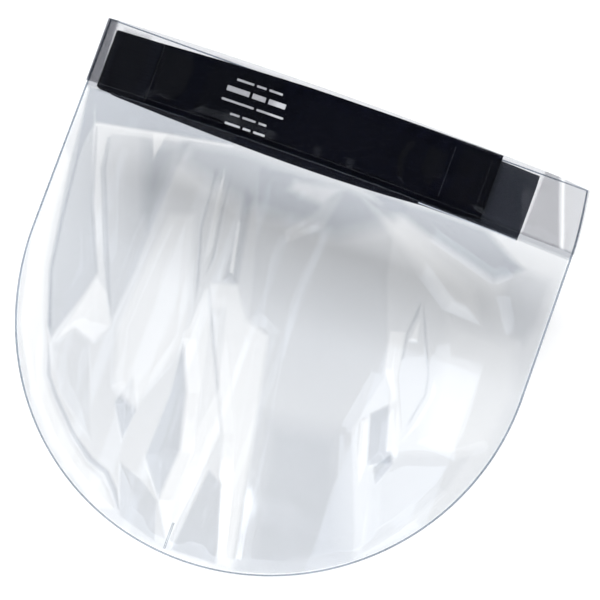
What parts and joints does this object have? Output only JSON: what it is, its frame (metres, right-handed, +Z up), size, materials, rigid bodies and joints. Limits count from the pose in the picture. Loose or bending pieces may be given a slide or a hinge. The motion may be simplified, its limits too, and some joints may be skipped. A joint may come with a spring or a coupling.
{
  "type": "face shield",
  "caption": "Clear U-shaped face shield bent round the face, with a black foam brow pad, a peelable protective film and a black webbing strap.",
  "frame": {"origin": "middle of the brow pad's inner face, where the forehead rests", "axes": "+Z up as worn, -Y the way the visor faces and bulges, +X to the wearer's left"},
  "size_m": [0.262, 0.0598, 0.243],
  "materials": {
    "visor_sheet": "clear polished polyester sheet",
    "cover_strip": "clear glossy film, lightly wrinkled",
    "peel_film": "thin clear film with creases",
    "foam": "black fine-celled foam",
    "tape": "black foam tape",
    "webbing": "black woven elastic",
    "loop_fabric": "dark grey looped fabric",
    "hook_fabric": "dark grey hook fabric",
    "thread": "dark polyester thread"
  },
  "bodies": {
    "shield": {"visor": "visor_sheet", "cover_band": "cover_strip", "brow_pad": "foam", "pad_tape": "tape", "strap_anchor": "webbing", "loop_tab": "loop_fabric", "tab_stitches": "thread"},
    "film": {"protective_film": "peel_film"},
    "strap_side": {"strap_side": "webbing"},
    "strap_back": {"strap_back": "webbing"},
    "strap_tail": {"strap_tail": "webbing", "hook_patch": "hook_fabric", "hook_stitches": "thread"}
  },
  "joints": [
    {"name": "film_peel", "type": "hinge", "parent": "shield", "child": "film", "pos_m": [0, -0.0145, -0.019], "axis": [-1, 0, 0], "range_deg": [0, 60]},
    {"name": "strap_fold", "type": "hinge", "parent": "shield", "child": "strap_side", "pos_m": [-0.1236, 0.044, -0.00275], "axis": [0, 0, 1], "range_deg": [0, 90]},
    {"name": "strap_curl", "type": "hinge", "parent": "strap_side", "child": "strap_back", "pos_m": [-0.0558, 0.044, -0.00275], "axis": [0, 0, -1], "range_deg": [0, 62]},
    {"name": "strap_tail_curl", "type": "hinge", "parent": "strap_back", "child": "strap_tail", "pos_m": [0.012, 0.044, -0.00275], "axis": [0, 0, -1], "range_deg": [0, 62]}
  ],
  "couplings": [
    {"joint": "strap_curl", "follows": "strap_fold", "ratio": 0.6},
    {"joint": "strap_tail_curl", "follows": "strap_fold", "ratio": 0.6}
  ]
}
